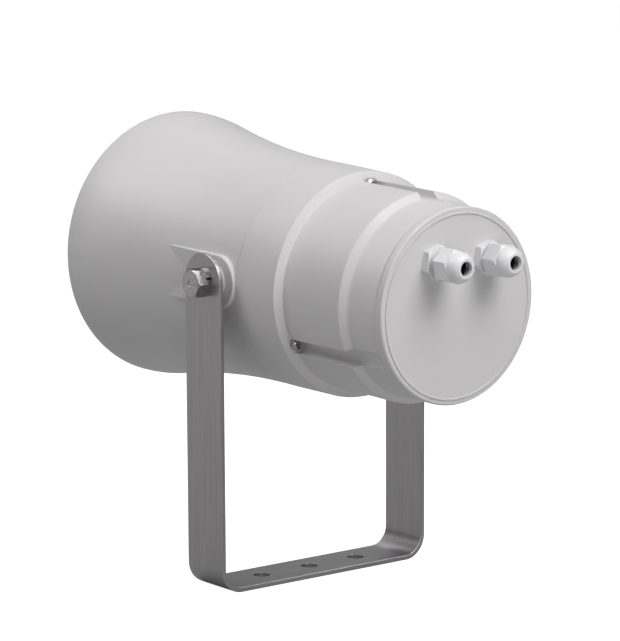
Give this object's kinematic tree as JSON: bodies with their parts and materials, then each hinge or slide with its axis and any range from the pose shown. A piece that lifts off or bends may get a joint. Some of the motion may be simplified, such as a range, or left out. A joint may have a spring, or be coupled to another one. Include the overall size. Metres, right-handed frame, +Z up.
{
  "type": "horn speaker",
  "caption": "Re-entrant horn speaker with a stepped rear housing and cable glands, tilting in a U-shaped flat-bar bracket that bolts to a wall or beam.",
  "frame": {"origin": "on the bracket's fixing face, at its middle hole", "axes": "+Z up from the fixing face along the legs, +Y to the rear of the speaker and -Y out of its mouth, +X to the right for someone who stands in front of the mouth and looks into it; the tilt axis is parallel to X"},
  "size_m": [0.1762, 0.3097, 0.28],
  "materials": {
    "stainless_bar": "satin, grained along the bar's length",
    "bolt_steel": "bright, turned and rolled",
    "washer_steel": "satin wire",
    "screw_steel": "bright, rolled",
    "brass": "turned",
    "pillar_brass": "turned, nickel washed",
    "grey_plastic": "satin, moulded",
    "white_nylon": "satin, moulded",
    "gland_rubber": "matte, moulded",
    "black_rubber": "matte, moulded",
    "black_plastic": "satin, moulded",
    "phenolic": "pressed cloth and resin",
    "plated_steel": "zinc plated",
    "ferrite": "sintered and ground",
    "laminations": "stacked sheet, varnished",
    "coil_tape": "wound tape",
    "board_laminate": "pressed laminate",
    "terminal_plastic": "moulded"
  },
  "bodies": {
    "bracket": {"bracket": "stainless_bar"},
    "horn": {"back_plate": "plated_steel", "board_screws": "screw_steel", "clamp_ring": "black_plastic", "diaphragm": "phenolic", "driver_cover": "black_plastic", "driver_screws": "screw_steel", "gland_body_left": "white_nylon", "gland_body_right": "white_nylon", "gland_locknut_left": "white_nylon", "gland_locknut_right": "white_nylon", "gland_nut_left": "white_nylon", "gland_nut_right": "white_nylon", "gland_ring_left": "gland_rubber", "gland_ring_right": "gland_rubber", "gland_seal_left": "gland_rubber", "gland_seal_right": "gland_rubber", "horn_bell": "grey_plastic", "housing_screws": "screw_steel", "joint_gasket": "black_rubber", "magnet_ring": "ferrite", "phase_plug": "black_plastic", "pillars": "pillar_brass", "pivot_bolt_left": "bolt_steel", "pivot_bolt_right": "bolt_steel", "pivot_insert_left": "brass", "pivot_insert_right": "brass", "rear_housing": "grey_plastic", "reflector": "grey_plastic", "reflector_screw": "screw_steel", "split_washer_left": "washer_steel", "split_washer_right": "washer_steel", "terminal_block": "terminal_plastic", "terminal_board": "board_laminate", "terminal_screws": "screw_steel", "throat_gasket": "black_rubber", "throat_tube": "grey_plastic", "top_plate": "plated_steel", "transformer_bracket": "plated_steel", "transformer_coil": "coil_tape", "transformer_core": "laminations"}
  },
  "joints": [
    {"name": "tilt", "type": "hinge", "parent": "bracket", "child": "horn", "pos_m": [0, 0, 0.187], "axis": [1, 0, 0], "range_deg": [-87, 63]}
  ]
}
